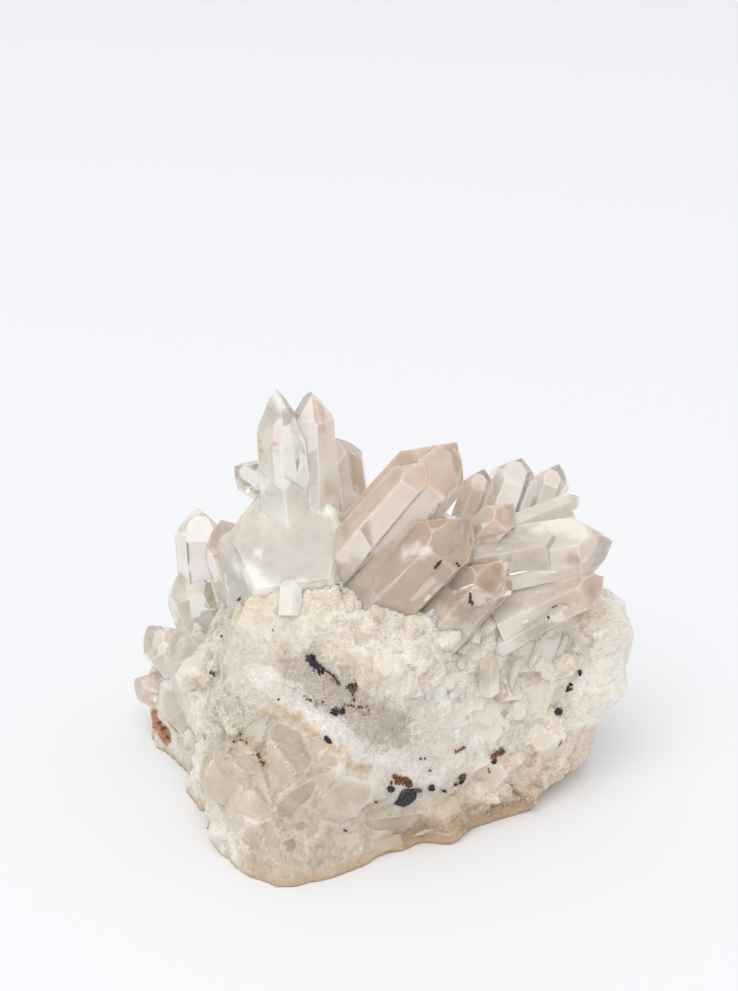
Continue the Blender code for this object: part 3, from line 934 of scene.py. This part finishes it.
# Small crystals that the photograph shows round the feet: the pixels of the foot and the tip,
# the width and the lift of the tip in millimetres, and how clear and pink it is. A milky one
# has a clearness below nothing.
SMALL_CRYSTALS = [
    (514, 627, 529, 619, 1.0, 0.5, -1, 0.0), (289, 616, 291, 577, 5.0, 0.5, -1, 0.0), (440, 628, 446, 601, 4.4, 2.2, 0.6, 0.0),
    (408, 628, 413, 606, 2.8, 1.6, 0.3, 0.1), (461, 668, 456, 651, 2.6, 1.4, 0.5, 0.2),
    (490, 692, 486, 655, 4.4, 2.4, 0.7, 0.4), (503, 708, 500, 684, 3.4, 1.6, 0.5, 0.6),
    (491, 697, 498, 652, 1.5, 2.6, -1, 0.0), (512, 692, 518, 655, 1.8, 1.6, 0.4, 0.2),
    (428, 699, 424, 684, 2.4, 1.2, 0.5, 0.3),
    (487, 602, 509, 592, 1.2, 1.2, -1, 0.0),
    (344, 590, 336, 560, 2.2, 1.6, 0.2, 0.1),
    (362, 600, 366, 574, 2.6, 1.6, 0.3, 0.2), (386, 612, 392, 588, 2.4, 1.4, 0.2, 0.2),
    (470, 640, 482, 618, 2.6, 1.4, 0.5, 0.3), (530, 668, 538, 640, 2.4, 1.2, 0.4, 0.3),
    (556, 660, 566, 634, 2.0, 1.0, 0.3, 0.3), (452, 700, 462, 682, 2.0, 1.0, 0.5, 0.3),
]
DRUSE_SEED = 31
DRUSE_CRYSTALS = 190

# The large glassy broken faces on the front, each by its outline in pixels, how pink and how smoky
# it is
GLASSY_BREAKS = [
    ([(205, 769), (211, 760), (230, 755), (252, 756), (262, 770), (269, 786), (272, 800), (274, 817),
      (262, 823), (243, 817), (228, 812), (222, 803), (209, 793), (203, 782)], 0.5, 0.2),
    ([(267, 740), (280, 757), (295, 774), (291, 788), (273, 799), (269, 770)], 0.2, 0.25),
    ([(275, 804), (293, 790), (314, 777), (318, 785), (311, 798), (302, 807), (289, 819), (277, 818)], 0.6, 0.8),
    ([(268, 731), (279, 721), (290, 726), (303, 731), (304, 747), (313, 761), (306, 772), (297, 773),
      (281, 755), (268, 738)], 0.3, 0.65),
    ([(319, 757), (327, 752), (339, 758), (338, 767), (321, 768)], 0.5, 0.7),
    ([(316, 812), (318, 801), (330, 789), (340, 777), (357, 777), (372, 784), (370, 801), (356, 815),
      (334, 823), (318, 822)], 0.4, 0.25),
    ([(294, 826), (302, 820), (307, 823), (308, 828), (300, 833), (295, 831)], 0.8, 0.8),
    ([(283, 842), (295, 836), (297, 846), (290, 854), (284, 849)], 0.7, 0.7),
    ([(356, 824), (369, 819), (416, 814), (421, 820), (410, 827), (389, 831), (375, 832), (364, 825)], 0.9, 0.75),
    ([(206, 797), (211, 796), (222, 808), (209, 806)], 0.0, -0.4),
    ([(208, 811), (222, 810), (241, 820), (251, 828), (243, 834), (222, 832), (212, 824)], 0.1, -0.3),
    ([(261, 825), (275, 821), (280, 839), (286, 859), (279, 864), (267, 852), (262, 836)], 0.7, 0.15),
    ([(314, 775), (330, 771), (338, 770), (338, 775), (329, 787), (319, 797), (320, 786)], 0.2, 0.3),
    ([(326, 828), (343, 825), (355, 832), (358, 845), (348, 855), (331, 848)], 0.5, 0.0),
    ([(362, 838), (384, 835), (400, 834), (404, 848), (385, 858), (366, 855)], 0.7, 0.2),
    ([(410, 838), (440, 826), (462, 822), (469, 834), (440, 848), (412, 851)], 0.8, 0.5),
    ([(238, 744), (250, 724), (264, 718), (266, 729), (262, 742), (250, 751)], 0.3, 0.3),
    ([(306, 736), (318, 738), (330, 748), (318, 755), (311, 748)], 0.3, 0.2),
    ([(221, 699), (235, 695), (238, 710), (226, 717)], 0.1, 0.5),
    ([(541, 640), (560, 636), (570, 652), (556, 668), (543, 660)], 0.4, 0.0),
    ([(524, 690), (545, 684), (552, 700), (545, 718), (530, 712)], 0.5, 0.0),
    ([(540, 742), (562, 736), (572, 750), (552, 764), (540, 758)], 0.7, 0.15),
]
OTHER_BREAKS = 150

# Dark flakes by their outlines in pixels
DARK_FLAKES = [
    [(393.4, 803.8), (397.4, 799.6), (399.2, 795.4), (401, 791.8), (405, 790.2), (410, 788.8),
     (414.6, 788.2), (416.6, 791.4), (415.8, 797.6), (412.6, 801.6), (408.4, 804.4), (403, 807), (398, 806)],
    [(387, 788), (389.6, 785.8), (392.6, 786.2), (395.4, 788.4), (394.6, 790.6), (391.6, 792.8), (388.6, 792)],
    [(428, 787.6), (430.6, 784.8), (434, 784.6), (435.2, 790), (432, 791.4), (428.6, 790.6)],
    [(441.4, 790.2), (444.6, 789.4), (447.2, 791.8), (445.4, 792.6), (442.4, 791.8)],
    [(457.6, 782.4), (460.2, 779.4), (464.4, 779.4), (462.6, 782.6), (460, 784.8)],
    [(451, 787.8), (453.8, 784.8), (456.4, 783), (457.6, 784.2), (454.8, 786.8)],
    [(323.9, 736.6), (326.3, 735), (331.1, 739.8), (331.9, 743.8), (327.9, 743.5), (323.9, 739.8)],
    [(578, 670.6), (580.4, 669.4), (582, 673), (580.8, 677), (578.6, 676)],
    [(565.6, 692), (567, 686), (570, 682.4), (573.6, 684.4), (572.3, 690)],
    [(553.7, 712.1), (558.9, 707.3), (562.1, 710.2), (560.8, 714), (557, 715.9)],
    [(489.4, 760), (492.9, 757), (497, 760), (495.7, 763.8), (492.9, 764.7)],
    [(433.6, 568), (438, 562), (442.4, 559.6), (440, 564.6), (435, 569)],
]
# Rust-brown flakes by their outlines in pixels
RUST_FLAKES = [
    [(402.6, 777.6), (405.6, 776.2), (408.6, 778), (411.6, 780.6), (412.6, 783.6), (411.8, 786.6),
     (408, 786.8), (404.8, 785), (403.4, 782)],
    [(394.4, 782), (397.6, 779.6), (401, 780), (402, 783.2), (399, 784.6), (395.2, 784.4)],
    [(397.4, 776.6), (399.6, 777.6), (401, 780), (399, 781), (397.6, 779)],
    [(394, 775.4), (396.4, 774.4), (398.4, 776.4), (396.6, 778.6), (394.4, 777)],
    [(401.4, 777.6), (403, 776.6), (403.8, 778.6), (402, 779.8)],
    [(390, 782.4), (391.4, 780.2), (392.4, 782), (392.2, 785), (390.4, 785)],
    [(413.4, 789), (417.6, 788.2), (421.8, 789.6), (421.4, 792), (417.8, 792.6), (415, 791.6)],
    [(401, 791), (404.6, 789), (408, 789), (404.6, 791.2), (401.6, 792.6)],
    [(458.6, 777), (460.6, 774.8), (464.2, 774.2), (466, 777.6), (463, 780.4), (459.8, 780)],
    [(468.4, 604), (469.2, 596), (471, 592.4), (472, 597), (470.4, 603)],
    [(470.8, 605), (472.8, 600.6), (474, 603.4), (472.4, 606)],
    [(491, 757), (492.4, 753), (497, 755), (496, 757.6)],
    [(497.4, 755), (501, 749.4), (504.2, 750.2), (503, 754), (499.6, 756)],
    [(454.6, 754), (459, 749.6), (464.4, 746.2), (463, 750), (457, 753)],
]
# Single grains: pixel and reach in pixels
DARK_GRAINS = [
    (458.9, 565.5, 1.0), (548.7, 617, 1.1), (553, 607, 0.7), (556, 606, 0.7), (420.4, 758.6, 0.9),
    (424.6, 758.4, 0.8), (488.6, 769, 0.7), (489.4, 772, 0.7), (212.6, 673, 2.2), (389, 787, 0.8),
]
RUST_GRAINS = [
    (430, 770.4, 1.1), (375.7, 802, 1.0), (345.4, 830.7, 1.2), (239, 596, 1.4), (239.4, 599, 1.3),
    (223, 658.7, 1.5), (221.4, 636, 1.2), (278, 699.6, 1.2), (272.8, 630.7, 0.9), (456.6, 563.6, 1.0),
    (159, 722, 1.2), (164, 728, 1.5), (168, 737, 1.2), (157, 731, 1.0), (432, 786, 0.8), (396, 780, 0.8),
]
# Trails of fine grains: the pixels along each, its reach in pixels and how many grains it has
DARK_TRAILS = [
    ([(309, 657), (314, 664), (322, 671)], 3.2, 120), ([(321, 669), (334, 675)], 0.7, 16),
    ([(332, 712), (344, 712)], 2.6, 60), ([(350, 683), (354, 686)], 2.0, 8),
]
RUST_TRAILS = [
    ([(395, 776), (404, 780), (412, 786)], 3.0, 46), ([(492, 757), (503, 751)], 2.4, 22), ([(455, 753), (464, 747)], 1.2, 14),
    ([(459, 779), (465, 775)], 1.6, 14), ([(470, 594), (472, 604)], 1.2, 12),
    ([(334, 676), (339, 684)], 0.6, 9), ([(345, 705), (370, 709)], 1.2, 22), ([(352, 694), (355, 703)], 0.6, 6),
    ([(306, 699), (324, 702)], 0.8, 7), ([(228, 742), (240, 736), (246, 742)], 2.0, 9),
    ([(255, 752), (263, 765)], 2.0, 9), ([(354, 684), (357, 687)], 1.2, 5),
]


def small_crystals(rock, crystals):
    """Small crystals round the feet of the large ones: those that show, and a crust of others."""
    chance = random.Random(DRUSE_SEED)
    surfaces = [surface_of(rock)]
    solids = []
    for across, down, tip_across, tip_down, width, lift, clear, pink in SMALL_CRYSTALS:
        if clear < 0:
            surfaces = [surfaces[0], *crystals]
        foot, tip = sighted(surfaces, across, down), sighted(surfaces, tip_across, tip_down)
        surfaces = surfaces[:1]
        if not (foot and tip) or (tip[0] - foot[0]).length > 12:
            continue
        solids.append(crystal(
            foot[0] - foot[1] * 1.2, tip[0] + tip[1] * lift, width, chance.uniform(0, 60), worn=0.06,
            clear=max(clear, 0.1), pink=pink, buried=0.85 if clear < 0 else 0.1,
        ))
    spots = [vertex.co.copy() for vertex in rock.data.vertices]
    facings = [vertex.normal.copy() for vertex in rock.data.vertices]
    middle = Vector((0, 0, 25)) * MM
    tries = 0
    while len(solids) < DRUSE_CRYSTALS and tries < 30000:
        tries += 1
        number = chance.randrange(len(spots))
        spot, facing = spots[number], facings[number]
        near = min((surface.find_nearest(spot, 3 * MM)[3] or 1.0) for surface in crystals)
        if near > 2.6 * MM or facing.z < -0.2:
            continue
        way = facing * 0.6 + (spot - middle).normalized() * 0.4
        way += Vector([chance.uniform(-0.35, 0.35) for _ in range(3)])
        way.normalize()
        width = chance.uniform(0.8, 2.2)
        reach = width * chance.uniform(0.5, 1.6)
        solids.append(crystal(
            spot / MM - way * 1.2, spot / MM + way * reach, width, chance.uniform(0, 60), worn=0,
            clear=chance.uniform(0.3, 0.9), pink=chance.uniform(0.0, 0.4), buried=0.2,
        ))
    closed = [solid for solid in solids if all(edge.is_manifold for edge in solid.edges)]
    piece = new_object("small_crystals", laid_together(closed))
    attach(piece, "root")
    return piece


def flake(outline, surfaces, chance, thick=0.22):
    """A rough grain on an outline of pixels, half sunk in what carries it."""
    seen = [sighted(surfaces, across, down) for across, down in outline]
    if not all(seen):
        return None
    places = [place for place, _, _ in seen]
    middle = sum(places, Vector()) / len(places)
    facing = sum((way for _, way, _ in seen), Vector()).normalized()
    depths = [(place - middle).dot(VIEW_AHEAD) for place in places]
    width = max((place - middle - VIEW_AHEAD * depth).length for place, depth in zip(places, depths))
    if max(depths) - min(depths) > 1 + width * 2:
        return None
    bm = bmesh.new()
    corners = []
    for place in places:
        flat = place - facing * (place - middle).dot(facing)
        corners.append(bm.verts.new((flat - facing * 0.5) * MM))
    base = bm.faces.new(corners)
    raised = bmesh.ops.extrude_face_region(bm, geom=[base])["geom"]
    tops = [item for item in raised if isinstance(item, bmesh.types.BMVert)]
    bmesh.ops.translate(bm, verts=tops, vec=facing * (0.5 + thick * 0.5) * MM)
    top = next(item for item in raised if isinstance(item, bmesh.types.BMFace))
    width = min((first - second).length for first, second in zip(places, places[1:]))
    bmesh.ops.inset_individual(bm, faces=[top], thickness=width * 0.25 * MM)
    for vertex in top.verts:
        vertex.co += facing * (thick * chance.uniform(0.3, 1.0)) * MM
    bmesh.ops.poke(bm, faces=[top], offset=0)
    bmesh.ops.recalc_face_normals(bm, faces=bm.faces)
    return bm


def ragged_outline(across, down, reach, chance):
    corners = 6
    turn = chance.uniform(0, math.tau)
    outline = []
    for corner in range(corners):
        angle = turn + math.tau * corner / corners
        away = reach * chance.uniform(0.5, 1.3)
        outline.append((across + away * math.cos(angle), down + away * math.sin(angle)))
    return outline


def grain_finish(name, dark, light, shine):
    """A rough mineral grain with a dull metal gleam."""
    made = Finish(name)
    place = made.millimetres()
    streaks = made.noise(place, 0.7, 4.0, 0.7, 1.0)
    color = made.mix(made.rise(streaks, 0.42, 0.66), dark, light)
    rough = made.bump(made.noise(place, 0.3, 3.0, 0.7), 0.0001, 0.8)
    shader = made.node("ShaderNodeBsdfPrincipled", {}, {
        "Base Color": color, "Metallic": shine, "Roughness": 0.5 - streaks * 0.2, "Normal": rough,
    })
    return made.surface(shader)


def mineral_grains(name, outlines, grains, trails, surfaces, finish):
    chance = random.Random(len(outlines) * 7 + len(grains))
    outlines = outlines + [
        ragged_outline(across, down, reach * 1.5, chance) for across, down, reach in grains
    ]
    for path, reach, number in trails:
        for _ in range(number):
            corner = chance.randrange(len(path) - 1)
            share = chance.random()
            across, down = (
                first + (second - first) * share + chance.gauss(0, reach * 0.6)
                for first, second in zip(path[corner], path[corner + 1])
            )
            outlines.append(ragged_outline(across, down, chance.uniform(0.6, 1.4), chance))
    made = (flake(outline, surfaces, chance) for outline in outlines)
    piece = new_object(name, laid_together([bm for bm in made if bm]), finish)
    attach(piece, "root")


# ---------------------------------------------------------------- the studio


def lamp(name, place, aim, size, power, color=(1, 1, 1)):
    light = bpy.data.lights.new(name, "AREA")
    light.shape = "DISK"
    light.size = size
    light.energy = power
    light.color = color
    made = bpy.data.objects.new(name, light)
    made.location = place
    made.rotation_euler = (Vector(aim) - Vector(place)).to_track_quat("-Z", "Y").to_euler()
    bpy.context.scene.collection.objects.link(made)


def set_studio():
    bm = bmesh.new()
    bmesh.ops.create_grid(bm, x_segments=1, y_segments=1, size=4)
    white = Finish("White table")
    shader = white.node("ShaderNodeBsdfPrincipled", {}, {
        "Base Color": (0.88, 0.885, 0.9, 1.0), "Roughness": 0.9, "Specular IOR Level": 0.1,
    })
    table = new_object("table", bm, white.surface(shader))
    world = bpy.data.worlds.new("white room")
    world.use_nodes = True
    world.node_tree.nodes["Background"].inputs["Color"].default_value = (0.97, 0.985, 1.0, 1.0)
    world.node_tree.nodes["Background"].inputs["Strength"].default_value = 0.78
    bpy.context.scene.world = world
    lamp("window", (-0.5, -1.3, 2.6), (0, 0, 0.03), 2.5, 36)
    bpy.context.scene.view_settings.view_transform = "Standard"


set_camera()
set_studio()
rock, ground = rock_copy()
crystal_pieces = [
    grown("crystal_spray", SPRAY | back_crystals(), ground),
    grown("flank_crystals", FLANK, ground),
    grown("side_crystals", SIDE, ground),
]
crystal_surfaces = [surface_of(piece) for piece in crystal_pieces]
finish_rock(rock, ground, crystal_surfaces)
crystal_pieces.append(small_crystals(rock, crystal_surfaces))
all_surfaces = [surface_of(piece) for piece in (rock, *crystal_pieces)]
crystal_finish = quartz_crystal(crystal_surfaces)
for piece in crystal_pieces:
    piece.data.materials.clear()
    piece.data.materials.append(crystal_finish)
slate = grain_finish("Slate black mineral", paint(24, 25, 28), paint(70, 74, 80), 0.3)
rust = grain_finish("Rust brown mineral", paint(84, 48, 30), paint(150, 88, 52), 0.1)
mineral_grains("dark_grains", DARK_FLAKES, DARK_GRAINS, DARK_TRAILS, all_surfaces, slate)
mineral_grains("rust_grains", RUST_FLAKES, RUST_GRAINS, RUST_TRAILS, all_surfaces, rust)
